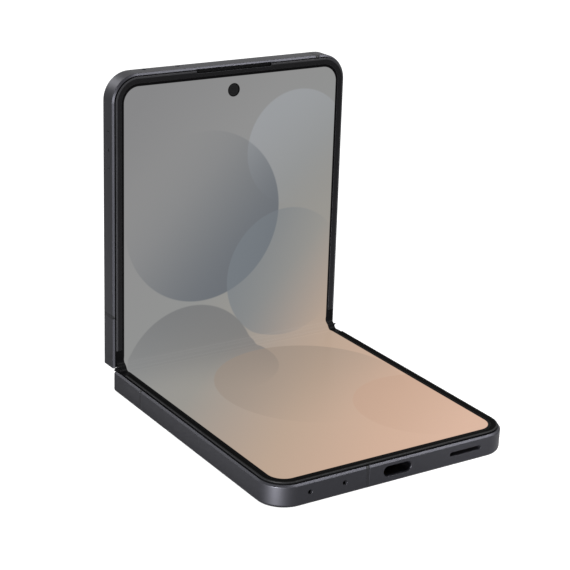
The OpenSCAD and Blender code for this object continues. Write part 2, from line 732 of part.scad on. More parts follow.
module main_board() color(board_green) at_upper() difference() {
    translate([-inner_w / 2, board_start, board_z])
        cube([inner_w, inner_end - 0.2 - board_start, board_t]);
    for (x = camera_x) translate([x, camera_y, 0]) linear_extrude(half_t)
        square(camera_body + 0.6, center = true);
    translate([-front_body / 2 - 0.3, punch_y - front_body / 2 - 0.3, 0])
        cube([front_body + 0.6, front_body + 0.6, half_t]);
    translate([key_board_x, board_start - 1, 0]) cube([body_w, half_l, half_t]);
    both_sides() translate([body_w / 2 - corner_r, half_l - corner_r, 0]) corner_cut();
    board_holes(upper_posts);
}
can_t = 1.5;
can_wall = 0.2;
// Each can: its left and right edges, the middle of its length, and its length
can_inset = 9.6;
can_gap = 3;
small_can_w = 14;
small_can_x = can_inset - body_w / 2;
big_can_x = small_can_x + small_can_w + can_gap;
big_can_end = body_w / 2 - 18.6;
cans = [[big_can_x, big_can_end, camera_y - 17.5, 12],
    [small_can_x, small_can_x + small_can_w, tray_y - 11.7, 8]];
module shield_cans() color("#9c9ea3") at_upper() for (c = cans)
    translate([(c[0] + c[1]) / 2, c[2], board_top]) difference() {
        linear_extrude(can_t) square([c[1] - c[0], c[3]], center = true);
        translate([0, 0, -1]) linear_extrude(can_t - can_wall + 1)
            square([c[1] - c[0] - 2 * can_wall, c[3] - 2 * can_wall], center = true);
    }
chip = [11, 10, 1];
module processor() color("#2a2a2d") at_upper()
    translate([(cans[0][0] + cans[0][1]) / 2, cans[0][2], board_top]) linear_extrude(chip[2])
        square([chip[0], chip[1]], center = true);

earpiece_w = 11;
earpiece_l = 6;
module earpiece() color("#26262a") at_upper()
    translate([-4 - earpiece_w, inner_end - 0.2 - earpiece_l, board_top])
        cube([earpiece_w, earpiece_l, plate_z - board_top]);
module earpiece_mesh() color("#0c0c0e") at_upper()
    translate([seat_gap - ear_w / 2, ear_y + seat_gap, ear_z])
        cube([ear_w - 2 * seat_gap, ear_depth - 2 * seat_gap, 0.1]);

// Front camera, looking out through the round window in the screen
lens_r = punch_r - 0.35;
module front_camera() color("#101014") at_upper() translate([0, punch_y, 0]) {
    translate([0, 0, board_z]) linear_extrude(plate_z - board_z)
        square(front_body, center = true);
    translate([0, 0, plate_z]) cylinder(r = lens_r, h = screen_z - 0.2 - plate_z);
}

// Rear camera bodies hang from the display plate; rings stand proud of the back glass
module rear_cameras() color("#1a1a1e") at_upper() for (x = camera_x)
    translate([x, camera_y, 0]) {
        translate([0, 0, glass_t + 0.6]) linear_extrude(plate_z - glass_t - 0.6)
            square(camera_body, center = true);
        translate([0, 0, 0.1]) cylinder(r = 3.6, h = glass_t + 0.6);
    }
module camera_rings() color(graphite) at_upper() for (x = camera_x)
    translate([x, camera_y, 0]) difference() {
        union() {
            translate([0, 0, -ring_h]) cylinder(r = ring_r, h = ring_h);
            cylinder(r = ring_r - 0.6, h = glass_t + 0.6);
        }
        translate([0, 0, -ring_h - 1]) cylinder(r = window_r, h = ring_h + 1);
        translate([0, 0, -0.5]) cylinder(r = 4.2, h = 3);
    }
window_t = 0.6;
module camera_windows() color("#0a0a10") at_upper() for (x = camera_x)
    translate([x, camera_y, -window_t]) cylinder(r = window_r - seat_gap, h = window_t);
module flash_lamp() color("#efe6c8") at_upper()
    translate([flash_x, camera_y, 0]) cylinder(r = flash_r, h = board_z);

// ---- card tray and its reader ----

tray_h = 1.9;
tray_z = port_z + 0.2;
tray_gap = 0.12;
tray_face = 1.4;
drawer_l = 14;
drawer_w = tray_w - 0.9;
drawer_t = 0.9;
card = [12.3, 8.8, 0.67];
card_gap = 0.15;
pin_r = 0.4;
tray_left = -body_w / 2;
drawer_z = tray_z - drawer_t / 2;
card_x = tray_left + tray_face + 0.8;
module card_tray() color(graphite) at_upper() difference() {
    union() {
        side_tray_pill();
        translate([tray_left + tray_face - 0.2, tray_y - drawer_w / 2, drawer_z])
            cube([drawer_l + 0.2, drawer_w, drawer_t]);
    }
    translate([card_x - card_gap, tray_y - card[1] / 2 - card_gap, drawer_z + drawer_t - card[2]])
        cube([card[0] + 2 * card_gap, card[1] + 2 * card_gap, 2]);
    translate([tray_left - 1, tray_y, tray_z]) rotate([0, 90, 0])
        cylinder(r = pin_r, h = tray_face + 0.4);
}
module side_tray_pill() translate([tray_left, tray_y, tray_z]) rotate([90, 0, 90])
    linear_extrude(tray_face) pill(tray_w, tray_h);
module phone_card() color("#d8d3c4") at_upper()
    translate([card_x, tray_y - card[1] / 2, drawer_z + drawer_t - card[2]]) cube(card);

// Folded steel cage on the board that the drawer slides into
reader_gap = 0.25;
reader_wall = 0.2;
module card_reader() color("silver") at_upper() {
    x0 = tray_left + rail_t + 0.3;
    w = drawer_w + 2 * reader_gap;
    top = drawer_z + drawer_t + reader_gap;
    difference() {
        translate([x0, tray_y - w / 2 - reader_wall, board_top])
            cube([drawer_l + 0.8, w + 2 * reader_wall, top + reader_wall - board_top]);
        translate([x0 - 1, tray_y - w / 2, board_top + reader_wall])
            cube([drawer_l + 1.4, w, top - board_top - reader_wall]);
    }
}

// ---- keys, each a cap in the right rail with a flange that keeps it in ----

key_h = 2;
key_gap = 0.12;
key_proud = 0.35;
flange_t = 0.45;
flange_x = body_w / 2 - rail_t - 0.1 - flange_t;
key_board_x = flange_x - key_travel - 0.1;
module key(y, l) {
    right = body_w / 2;
    side_pill(y, port_z, l, key_h, right - rail_t - 0.2, right + key_proud);
    side_pill(y, port_z, l + 1.2, key_h + 0.5, flange_x, flange_x + flange_t);
}
module volume_key() color(graphite) at_upper() key(volume_y, volume_l);
module side_key() color(graphite) at_upper() key(side_y, side_l);

// Dome switches stand on the board, just inside the key flanges
switch_t = 1;
module key_switches() color("#c9ccd1") at_upper() for (y = [volume_y - 6, volume_y + 6, side_y + 4.2])
    translate([key_board_x - switch_t, y - 1.6, board_top])
        cube([switch_t, 3.2, plate_z - board_top]);

lower_frame();
lower_antenna_bands();
lower_rim();
lower_back_glass();
lower_display();
lower_support_plate();
lower_hinge_brackets();
lower_battery();
charging_coil();
lower_board();
usb_socket();
usb_tongue();
loudspeaker();
loudspeaker_mesh();
vibration_motor();
lower_microphones();
lower_magnets();
lower_screws();
spine_cover();
spine_end_caps();
hinge_end_seals();
hinge_blocks();
torque_clips();
display_fold();
fold_flex();
idler_gear_1();
idler_gear_2();
idler_gear_3();
idler_gear_4();
upper_frame();
upper_antenna_bands();
upper_rim();
upper_back_glass();
upper_display();
upper_support_plate();
upper_hinge_brackets();
upper_battery();
cover_display();
main_board();
shield_cans();
processor();
earpiece();
earpiece_mesh();
front_camera();
rear_cameras();
camera_rings();
camera_windows();
flash_lamp();
card_reader();
key_switches();
upper_magnets();
upper_screws();
volume_key();
side_key();
card_tray();
phone_card();
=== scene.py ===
# A clamshell folding phone, standing open on the back of its lower half.
# Everything is in metres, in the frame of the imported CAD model: x across the phone along the
# fold, y from the lower half's free end to the hinge, z up from the table.
import json
import math

import bmesh
import bpy
from mathutils import Matrix, Vector


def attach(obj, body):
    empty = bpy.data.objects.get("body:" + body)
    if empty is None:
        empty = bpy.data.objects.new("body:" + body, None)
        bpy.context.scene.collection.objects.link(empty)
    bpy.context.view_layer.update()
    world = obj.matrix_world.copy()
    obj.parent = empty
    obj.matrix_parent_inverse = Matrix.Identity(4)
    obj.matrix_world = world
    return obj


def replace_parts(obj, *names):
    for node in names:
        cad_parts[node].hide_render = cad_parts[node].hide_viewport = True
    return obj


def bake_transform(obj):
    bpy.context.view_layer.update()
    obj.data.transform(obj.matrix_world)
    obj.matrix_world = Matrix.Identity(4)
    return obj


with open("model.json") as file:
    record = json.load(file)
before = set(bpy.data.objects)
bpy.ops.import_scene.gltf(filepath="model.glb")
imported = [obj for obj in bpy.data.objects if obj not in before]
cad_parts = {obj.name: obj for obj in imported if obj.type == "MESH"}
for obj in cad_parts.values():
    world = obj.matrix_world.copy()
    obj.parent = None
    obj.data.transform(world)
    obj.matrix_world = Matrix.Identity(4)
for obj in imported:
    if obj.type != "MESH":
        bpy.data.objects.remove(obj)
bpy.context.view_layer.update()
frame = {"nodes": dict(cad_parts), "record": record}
body_of = {name: body for body, names in frame["record"]["behaviour"]["bodies"].items()
           for name in names}
scene = bpy.context.scene
scene.view_settings.view_transform = "Standard"
MM = 0.001

# ---- Camera ----
# A long lens a little above the table, off the phone's front left corner. The camera stands
# and is rolled as the photograph's own edges say.
eye = Vector((-0.236678, -0.344002, 0.190934))
right = Vector((0.84056, -0.54041, 0.03753))
up = Vector((0.15516, 0.30654, 0.93912))
lens_camera = bpy.data.cameras.new("photo_camera")
lens_camera.lens = 105.05
lens_camera.sensor_width = 36
lens_camera.clip_start = 0.01
lens_camera.clip_end = 20
camera = bpy.data.objects.new("photo_camera", lens_camera)
scene.collection.objects.link(camera)
camera.matrix_world = Matrix.Translation(eye) @ Matrix(
    (right, up, right.cross(up))).transposed().to_4x4()
scene.camera = camera

# ---- Studio ----
# A white table top and white surroundings. Camera and mirror rays see the white; the object
# itself is lit by a soft world, soft lamps at its corners and three spots.


def linear(hex_colour):
    """An sRGB hex colour as the linear values that a shader takes."""
    parts = [int(hex_colour[i:i + 2], 16) / 255 for i in (1, 3, 5)]
    return [c / 12.92 if c <= 0.04045 else ((c + 0.055) / 1.055) ** 2.4 for c in parts] + [1]


def node(tree, kind, settings=None, **links):
    """A shader node with its settings, and its inputs set to values or linked to sockets. An
    input is given by its name, or as _0, _1 and so on by its number."""
    made = tree.nodes.new(kind)
    for name, value in (settings or {}).items():
        setattr(made, name, value)
    for name, value in links.items():
        by_number = name[0] == "_"
        socket = made.inputs[int(name[1:]) if by_number else name.replace("_", " ")]
        if isinstance(value, bpy.types.NodeSocket):
            tree.links.new(value, socket)
        elif value is not None:
            socket.default_value = value
    return made


def new_material(name):
    """An empty material and its node tree."""
    made = bpy.data.materials.new(name)
    made.use_nodes = True
    made.node_tree.nodes.clear()
    return made, made.node_tree


def spread(tree, value, low, high, from_low=0.0, from_high=1.0):
    """A value between from_low and from_high laid over the range from low to high."""
    return node(tree, "ShaderNodeMapRange", Value=value, From_Min=from_low, From_Max=from_high,
                To_Min=low, To_Max=high).outputs[0]


def maths(tree, operation, a, b=None):
    """The result of a scalar operation."""
    return node(tree, "ShaderNodeMath", {"operation": operation}, _0=a, _1=b).outputs[0]


# How bright the white surroundings are as light and in reflections. The camera sees 1.
DIFFUSE_SKY, GLOSSY_SKY = 0.5, 0.62
world = bpy.data.worlds.new("white_studio")
scene.world = world
world.use_nodes = True
tree = world.node_tree
tree.nodes.clear()
path = node(tree, "ShaderNodeLightPath")
brightness = spread(tree, path.outputs["Is Glossy Ray"], DIFFUSE_SKY, GLOSSY_SKY)
sky = node(tree, "ShaderNodeBackground", Color=(1, 1, 1, 1),
           Strength=maths(tree, "MAXIMUM", brightness, path.outputs["Is Camera Ray"]))
node(tree, "ShaderNodeOutputWorld", Surface=sky.outputs[0])

# The table glows by TABLE_GLOW for the camera alone, so that it looks as white as the rest
TABLE_HALF, TABLE_GLOW = 3, 0.8
white_table, tree = new_material("white_laminate_table")
path = node(tree, "ShaderNodeLightPath")
matt = node(tree, "ShaderNodeBsdfDiffuse", Color=linear("#b2b2b2"))
glow = node(tree, "ShaderNodeEmission", Color=(1, 1, 1, 1), Strength=TABLE_GLOW)
dark = node(tree, "ShaderNodeEmission", Color=(0, 0, 0, 1), Strength=0)
lift = node(tree, "ShaderNodeMixShader", _0=path.outputs["Is Camera Ray"], _1=dark.outputs[0],
            _2=glow.outputs[0])
both = node(tree, "ShaderNodeAddShader", _0=matt.outputs[0], _1=lift.outputs[0])
node(tree, "ShaderNodeOutputMaterial", Surface=both.outputs[0])
bm = bmesh.new()
bmesh.ops.create_grid(bm, x_segments=2, y_segments=2, size=TABLE_HALF)
table_mesh = bpy.data.meshes.new("table_top")
bm.to_mesh(table_mesh)
bm.free()
table_mesh.materials.append(white_table)
table_top = bpy.data.objects.new("table_top", table_mesh)
scene.collection.objects.link(table_top)

PHONE_MIDDLE = (0, 0, 0.04)
SPOT_RADIUS = 0.03


def placed(lamp, place, watts, aim_at):
    """A lamp at place that shines at the point aim_at."""
    lamp.energy = watts
    lamp_object = bpy.data.objects.new(lamp.name, lamp)
    scene.collection.objects.link(lamp_object)
    lamp_object.location = place
    aim = Vector(aim_at) - Vector(place)
    lamp_object.rotation_euler = aim.to_track_quat("-Z", "Y").to_euler()


def soft_lamp(name, place, size, watts):
    """A rectangular soft lamp that faces the phone."""
    lamp = bpy.data.lights.new(name, "AREA")
    lamp.shape = "RECTANGLE"
    lamp.size, lamp.size_y = size
    placed(lamp, place, watts, PHONE_MIDDLE)


soft_lamp("corner_strip", (-0.82, -0.54, 0.10), (0.2, 0.12), 5.8)
soft_lamp("left_back_softbox", (-0.30, 1.08, 0.56), (0.4, 0.4), 2.4)
soft_lamp("right_front_softbox", (0.65, -0.38, 1.05), (0.5, 0.5), 9)


def spot_lamp(name, place, degrees, watts, aim_at):
    """A narrow soft-edged spot."""
    lamp = bpy.data.lights.new(name, "SPOT")
    lamp.spot_size, lamp.spot_blend = math.radians(degrees), 1.0
    lamp.shadow_soft_size = SPOT_RADIUS
    placed(lamp, place, watts, aim_at)


# One spot puts the gleam on the rounded front corner. Two light the table beside the rails,
# which they mirror.
spot_lamp("corner_spot", (-0.82, -0.54, 0.06), 7.5, 120, (-0.031, -0.036, 0.002))
spot_lamp("right_table_spot", (0.08, -0.30, 0.42), 13, 15, (0.05, -0.075, 0))
spot_lamp("left_table_spot", (-0.45, -0.35, 0.30), 16, 14, (-0.085, 0.05, 0))

# ---- Metal shell ----
# The two frames, the spine cover, the keys, the tray and the camera rings are machined from
# aluminium, bead-blasted and anodised graphite. Each is the CAD piece with its sharp edges
# broken, as the polishing leaves them.

# Corners closer than WELD millimetres are one. Edges flatter than FLAT go, those sharper than
# SHARP are broken, and the shading is even across those up to CREASE.
WELD = 0.002
FLAT, SHARP, CREASE = math.radians(0.5), math.radians(28), math.radians(50)


def shown_as(name, mesh_data, material):
    """A new object at the origin, in the scene, with its material."""
    mesh_data.materials.clear()
    mesh_data.materials.append(material)
    made = bpy.data.objects.new(name, mesh_data)
    scene.collection.objects.link(made)
    return made


def softened(cad_name, name, width_mm, material):
    """A copy of a CAD node with its sharp edges broken, shown in the node's place."""
    source = frame["nodes"][cad_name]
    bm = bmesh.new()
    bm.from_mesh(source.data)
    bmesh.ops.remove_doubles(bm, verts=bm.verts, dist=WELD * MM)
    bmesh.ops.dissolve_limit(bm, angle_limit=FLAT, use_dissolve_boundaries=False,
                             verts=bm.verts, edges=bm.edges)
    sharp = [e for e in bm.edges if e.calc_face_angle(0) > SHARP]
    bmesh.ops.bevel(bm, geom=sharp, offset=width_mm * MM, offset_type="OFFSET", segments=2,
                    profile=0.5, affect="EDGES", clamp_overlap=False)
    for face in bm.faces:
        face.smooth = True
    for edge in bm.edges:
        edge.smooth = edge.calc_face_angle(0) < CREASE
    data = bpy.data.meshes.new(name)
    bm.to_mesh(data)
    bm.free()
    made = shown_as(name, data, material)
    made.modifiers.new("even_shading", "WEIGHTED_NORMAL").keep_sharp = True
    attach(made, body_of[cad_name])
    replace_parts(made, cad_name)
    return made


def object_coords(tree):
    """The piece's own coordinates, which are the frame's, in metres."""
    return node(tree, "ShaderNodeTexCoord").outputs["Object"]


def surface_noise(tree, scale, detail=2.0):
    """Fine noise from 0 to 1: scale is its grains in a metre."""
    return node(tree, "ShaderNodeTexNoise", Vector=object_coords(tree), Scale=scale,
                Detail=detail).outputs["Fac"]


def shaded(tree, colour, shade):
    """A colour multiplied by a shade."""
    return node(tree, "ShaderNodeMix", {"data_type": "RGBA", "blend_type": "MULTIPLY"}, _0=1.0,
                _6=linear(colour), _7=shade).outputs[2]


def relief(tree, height, strength, distance):
    """A bumpy normal: height times distance is the relief in metres."""
    return node(tree, "ShaderNodeBump", Strength=strength, Distance=distance,
                Height=height).outputs[0]


def skin(tree, **looks):
    """Ends the material with a surface of these looks."""
    surface = node(tree, "ShaderNodeBsdfPrincipled", **looks)
    node(tree, "ShaderNodeOutputMaterial", Surface=surface.outputs[0])


def anodised(name, colour, rough, grit):
    """Blasted, anodised aluminium: grit is the blasting's pitch in millimetres."""
    made, tree = new_material(name)
    speck = surface_noise(tree, 1000 / grit)
    drift = surface_noise(tree, 60)
    skin(tree, Base_Color=shaded(tree, colour, spread(tree, drift, 0.94, 1.06)), Metallic=1.0,
         Roughness=spread(tree, speck, rough - 0.04, rough + 0.04),
         Normal=relief(tree, speck, 0.06, 0.00002))
    return made


graphite = anodised("anodised_graphite_aluminium", "#45454a", 0.44, 0.25)
softened("lower_frame", "lower_rail", 0.06, graphite)
softened("upper_frame", "upper_rail", 0.06, graphite)
softened("spine_cover", "hinge_cover", 0.06, graphite)
softened("volume_key", "volume_key_cap", 0.05, graphite)
softened("side_key", "side_key_cap", 0.05, graphite)
softened("card_tray", "tray_and_face", 0.04, graphite)
softened("camera_rings", "camera_bezels", 0.12, graphite)

# ---- Plastics ----
# Moulded pieces: the bands in the rail, the rims round the screen, the spine's end caps and
# the housings inside. A fine spark-eroded grain breaks their gloss.


def moulded(name, colour, rough, grain, depth=0.02, shine=0.3):
    """Moulded plastic: grain is the pitch of its texture and depth its height, both in mm."""
    made, tree = new_material(name)
    bumps = surface_noise(tree, 1000 / grain, 3.0)
    drift = surface_noise(tree, 90)
    skin(tree, Base_Color=shaded(tree, colour, spread(tree, drift, 0.9, 1.1)),
         Roughness=spread(tree, bumps, rough - 0.06, rough + 0.06), Specular_IOR_Level=shine,
         Normal=relief(tree, bumps, 0.3, depth * MM))
    return made


def give(material, *names):
    """The CAD nodes keep their shape and take this material."""
    for name in names:
        data = frame["nodes"][name].data
        data.materials.clear()
        data.materials.append(material)


band_resin = moulded("graphite_glass_filled_resin", "#17171a", 0.42, 0.15, 0.01, 0.2)
# The upper half's rim is a lighter copy of the lower half's black: painted light.
rim_polymer = {"lower": moulded("black_rim_polymer", "#101011", 0.5, 0.12, 0.01, 0.2),
               "upper": moulded("upper_rim_polymer_with_painted_light", "#343437", 0.5, 0.12, 0.01, 0.2)}
# The slope's near-black is painted shade, and the upper half's is lighter by painted light.
rim_slope_painted_shade = {"lower": moulded("lower_rim_slope_painted_shade", "#050505", 0.7, 0.08, 0.005, 0.03),
              "upper": moulded("upper_rim_slope_painted_shade_and_light", "#151517", 0.5, 0.08, 0.005, 0.12)}
black_nylon = moulded("black_glass_filled_nylon", "#17171a", 0.55, 0.2)
# The rim's slope down to the screen, the faces that lean a little from the screen's own, is
# painted near-black: painted shade. The halves have unlike blacks, the upper half's lighter:
# painted light, as the photograph's light falls on them unlike.
# Each half is folded by FOLD about its hinge axis, from open flat. The leans are cosines.
FOLD = math.radians(44.65)
STAND = 2 * FOLD
screen_faces = {"lower": Vector((0, 0, 1)),
                "upper": Vector((0, -math.sin(STAND), math.cos(STAND)))}
LEAN_MOST, LEAN_LEAST = 0.985, 0.998
for half in ("lower", "upper"):
    softened(half + "_antenna_bands", half + "_rail_bands", 0.04, band_resin)
    rim = softened(half + "_rim", half + "_screen_rim", 0.04, rim_polymer[half])
    rim.data.materials.append(rim_slope_painted_shade[half])
    for face in rim.data.polygons:
        if LEAN_MOST < face.normal.dot(screen_faces[half]) < LEAN_LEAST:
            face.material_index = 1
softened("spine_end_caps", "spine_caps", 0.05, black_nylon)
give(black_nylon, "loudspeaker", "earpiece", "rear_cameras")

# ---- Screen ----
# One bendable panel under a thin protective film. Its four pieces share one picture, laid out
# on the unfolded screen: a cool grey top that warms to peach, with large soft discs.

# In millimetres: a half's frame has y outwards from the fold line and z up from its back. Its
# hinge axis is at AXIS_Y, AXIS_Z, and within FOLD_FREE of the fold line the screen is free.
# LENS_S is the round window's distance from that line, and FOLD_LINE the line's y in the
# phone's own frame when it is open flat.
HALF_W, HALF_L = 37.6, 84.0
SCREEN_TOP, SCREEN_UNDER, PANEL_HALF_W = 6.55, 5.65, 36.7
AXIS_Y, AXIS_Z, FOLD_FREE = 1.85, 5.8, 6.0
LENS_S, LENS_R = 76.8, 1.86
FOLD_LINE = 42.0


def about(y, z, angle):
    """A turn about a line along x through y, z (millimetres)."""
    there = Matrix.Translation((0, y, z))
    return there @ Matrix.Rotation(angle, 4, "X") @ there.inverted()


# From a half's frame to the phone as it stands: for the spine turned about the lower half's
# hinge axis, for the upper half about both
SPINE_PLACE = Matrix.Translation((0, FOLD_LINE, 0)) @ about(-AXIS_Y, AXIS_Z, FOLD)
UPPER_PLACE = SPINE_PLACE @ about(AXIS_Y, AXIS_Z, FOLD)


def mapped(data, span_of):
    """Lays a mesh out on the unfolded screen: span_of gives a corner's place along it."""
    layer = data.uv_layers.new(name="unfolded")
    for corner in data.loops:
        co = data.vertices[corner.vertex_index].co / MM
        layer.data[corner.index].uv = (0.5 + co.x / (2 * HALF_W),
                                       0.5 + span_of(corner.vertex_index, co) / (2 * HALF_L))


def eased(tree, value, low, high, from_low, from_high):
    """As spread, with a soft start and end."""
    return node(tree, "ShaderNodeMapRange", {"interpolation_type": "SMOOTHSTEP"}, Value=value,
                From_Min=from_low, From_Max=from_high, To_Min=low, To_Max=high).outputs[0]


def measure(tree, operation, vector, other=None):
    """The result of a vector operation."""
    made = node(tree, "ShaderNodeVectorMath", {"operation": operation}, _0=vector, _1=other)
    scalar = operation in ("DISTANCE", "DOT_PRODUCT", "LENGTH")
    return made.outputs["Value" if scalar else "Vector"]


def blended(tree, share, under, over):
    """The colour under, which turns into the colour over by share."""
    return node(tree, "ShaderNodeMix", {"data_type": "RGBA"}, _0=share, _6=under,
                _7=over).outputs[2]


# The place on the unfolded screen, in millimetres from its middle
screen_glass, tree = new_material("lit_folding_display")
flat = node(tree, "ShaderNodeUVMap", {"uv_map": "unfolded"}).outputs[0]
spot = measure(tree, "MULTIPLY", measure(tree, "SUBTRACT", flat, (0.5, 0.5, 0)),
               (2 * HALF_W, 2 * HALF_L, 0))

# The slanted wash from peach to grey, by how far up and to the left, in millimetres
WASH = [(-105, "#dab6a0"), (-75, "#cfae98"), (-40, "#bba491"), (-18, "#aa9c90"),
        (2, "#999690"), (30, "#909190"), (62, "#8f8f8f"), (105, "#868687")]
WASH_REACH = WASH[-1][0]
slant = measure(tree, "DOT_PRODUCT", spot, (-1.0, 1.0, 0))
wash = node(tree, "ShaderNodeValToRGB",
            _0=spread(tree, slant, 0.0, 1.0, -WASH_REACH, WASH_REACH))
stops = wash.color_ramp.elements
stops[0].position, stops[1].position = 0, 1
stops[0].color, stops[1].color = linear(WASH[0][1]), linear(WASH[-1][1])
for place, colour in WASH[1:-1]:
    stops.new((place + WASH_REACH) / (2 * WASH_REACH)).color = linear(colour)
picture = wash.outputs[0]

# Each disc: centre and radius in millimetres, the way its shade deepens, colour and depth
DISCS = [((22, 58, 0), 17, (-0.5, 0.8, 0), "#a2a6ab", 0.55),
         ((-9, 41, 0), 25, (0.7, -0.7, 0), "#60666e", 0.85),
         ((19, 20, 0), 20, (-0.9, 0.2, 0), "#767d83", 0.7),
         ((-13, -7, 0), 22, (0.4, 0.9, 0), "#6f7072", 0.7),
         ((7, -33, 0), 27, (-0.3, 0.95, 0), "#98897c", 0.6),
         ((27, -60, 0), 20, (-0.4, 0.9, 0), "#c3a08a", 0.5)]
DISC_BLUR = 0.25
for centre, radius, way, colour, depth in DISCS:
    inside = eased(tree, measure(tree, "DISTANCE", spot, centre), 0.0, 1.0,
                   radius + DISC_BLUR, radius - DISC_BLUR)
    along = measure(tree, "DOT_PRODUCT", measure(tree, "SUBTRACT", spot, centre), way)
    cover = maths(tree, "MULTIPLY", inside, eased(tree, along, 0.0, depth, -radius, radius))
    picture = blended(tree, cover, picture, linear(colour))

# The lit area has round corners; outside it and round the front lens the panel is black
LIT_HALF_W, LIT_HALF_L, LIT_CORNER, LIT_BLUR = 34.36, 80.64, 4.5, 0.06
edge = measure(tree, "SUBTRACT", measure(tree, "ABSOLUTE", spot),
               (LIT_HALF_W - LIT_CORNER, LIT_HALF_L - LIT_CORNER, 0))
edge = measure(tree, "LENGTH", measure(tree, "MAXIMUM", edge, (0, 0, 0)))
lit = eased(tree, edge, 0.0, 1.0, LIT_CORNER + LIT_BLUR, LIT_CORNER - LIT_BLUR)
beside_lens = eased(tree, measure(tree, "DISTANCE", spot, (0, LENS_S, 0)), 0.0, 1.0,
                    LENS_R, LENS_R + 2 * LIT_BLUR)
smears = node(tree, "ShaderNodeTexNoise", Vector=spot, Scale=0.08, Detail=3.0).outputs["Fac"]
skin(tree, Base_Color=linear("#0c0c0d"), Roughness=spread(tree, smears, 0.22, 0.32),
     Specular_IOR_Level=0.015, Emission_Color=picture,
     Emission_Strength=maths(tree, "MULTIPLY", lit, beside_lens))

UNSTAND = UPPER_PLACE.inverted()
for half, body, span in (
        ("lower", "lower_half", lambda i, co: co.y - FOLD_LINE),
        ("upper", "upper_half", lambda i, co: (UNSTAND @ co).y)):
    data = frame["nodes"][half + "_display"].data.copy()
    mapped(data, span)
    rigid_screen = shown_as(half + "_screen", data, screen_glass)
    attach(rigid_screen, body)
    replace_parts(rigid_screen, half + "_display")

# The free part of the screen bends. The share starts BEND_START millimetres from the fold
# line.
BEND_START = 3.6
BEND_STEPS, HALVINGS = 30, 40


def spun(y, z, angle):
    """A point of the flat lower half turned about its hinge axis, all in millimetres."""
    dy, dz = y - (FOLD_LINE - AXIS_Y), z - AXIS_Z
    return (FOLD_LINE - AXIS_Y + dy * math.cos(angle) - dz * math.sin(angle),
            AXIS_Z + dy * math.sin(angle) + dz * math.cos(angle))


bend_from = (FOLD_LINE - BEND_START, SCREEN_TOP)
bend_to = spun(FOLD_LINE, SCREEN_TOP, FOLD)
reach = (bend_to[0] - bend_from[0], bend_to[1] - bend_from[1])


def share_at(y, z):
    t = ((y - bend_from[0]) * reach[0] + (z - bend_from[1]) * reach[1]) \
        / (reach[0] ** 2 + reach[1] ** 2)
    t = min(max(t, 0), 1)
    return t * t * (3 - 2 * t)


def bent(y, z):
    """Where a point of the flat screen lies as the phone stands."""
    low, high = 0.0, 1.0
    for _ in range(HALVINGS):
        share = (low + high) / 2
        if share_at(*spun(y, z, FOLD * share)) > share:
            low = share
        else:
            high = share
    return spun(y, z, FOLD * share)


# The mirror between the two halves, through the middle of the spine
MIRROR = SPINE_PLACE @ Matrix.Diagonal((1, -1, 1, 1)) @ SPINE_PLACE.inverted()
SHEET_CREASE = math.radians(40)


def bend_piece(name, upper, rows, sides, material):
    """Half of a sheet that crosses the fold, bent as the phone stands and blended over its
    hinge axis. rows: (distance from the fold line, top, underside) from its end inwards."""
    spans, corners = [], []
    for span, *levels in rows:
        for z in levels:
            y_bent, z_bent = bent(FOLD_LINE - span, z)
            for x in sides:
                point = Vector((x, y_bent, z_bent))
                corners.append((MIRROR @ point if upper else point) * MM)
                spans.append(span if upper else -span)
    faces = [(0, 2, 3, 1)]
    for i in range(len(rows) - 1):
        a, b = 4 * i, 4 * i + 4
        faces += [(a, a + 1, b + 1, b), (a + 2, b + 2, b + 3, a + 3),
                  (a, b, b + 2, a + 2), (a + 1, a + 3, b + 3, b + 1)]
    last = 4 * (len(rows) - 1)
    faces.append((last, last + 1, last + 3, last + 2))
    if upper:
        faces = [face[::-1] for face in faces]
    data = bpy.data.meshes.new(name)
    data.from_pydata(corners, [], faces)
    data.update()
    data.shade_smooth()
    data.set_sharp_from_angle(angle=SHEET_CREASE)
    mapped(data, lambda i, co: spans[i])
    made = shown_as(name, data, material)
    if upper:
        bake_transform(made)
    else:
        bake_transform(made)
    return made


screen_rows = [(FOLD_FREE * (1 - i / BEND_STEPS), SCREEN_TOP, SCREEN_UNDER)
               for i in range(BEND_STEPS + 1)]
for half, is_upper in (("lower", False), ("upper", True)):
    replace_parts(bend_piece("screen_bend_" + half, is_upper, screen_rows,
                           (-PANEL_HALF_W, PANEL_HALF_W), screen_glass), "display_fold")

# ---- Back glasses and outer display ----
# Both backs are glass. The lower one is etched matt over graphite lacquer; the upper one is
# polished over the outer display, which is off.


def lacquered_glass(name, colour, rough, haze):
    """Glass over a coat of lacquer: haze is how much fine etching breaks up its reflections."""
    made, tree = new_material(name)
    etch = surface_noise(tree, 5000)
    cloud = surface_noise(tree, 45, 3.0)
    skin(tree, Base_Color=shaded(tree, colour, spread(tree, cloud, 0.93, 1.07)),
         Roughness=spread(tree, cloud, rough * 0.8, rough * 1.2),
         Normal=relief(tree, etch, haze, 0.000004))
    return made


softened("lower_back_glass", "matt_back_glass", 0.08,
         lacquered_glass("etched_graphite_glass", "#3c3b41", 0.42, 0.5))
softened("upper_back_glass", "outer_screen_glass", 0.08,
         lacquered_glass("polished_black_glass", "#0b0b0d", 0.07, 0.03))
give(lacquered_glass("black_display_cell", "#08080b", 0.2, 0.05), "cover_display")

# ---- Cameras and flash ----
# Turned barrels that step down to a coated dome lens, on the back behind each ring and at
# the front in the screen's round window. The flash is a warm ribbed lens.
barrel_black = anodised("black_anodised_barrel", "#131316", 0.4, 0.1)
smoked_glass = moulded("smoked_camera_cover", "#1a1a1b", 0.3, 0.5, 0.001, 0.1)
lens_coating, tree = new_material("coated_lens_glass")
# The lens turns from blue-black to purple towards its edges as seen at a slant: a painted
# reflection of its coating.
facing = node(tree, "ShaderNodeLayerWeight", Blend=0.35).outputs["Facing"]
skin(tree, Base_Color=blended(tree, facing, linear("#0c0d16"), linear("#2a2140")),
     Roughness=spread(tree, surface_noise(tree, 900), 0.02, 0.07), Coat_Weight=0.6,
     Coat_Roughness=0.03)
TURNED_CREASE = math.radians(35)


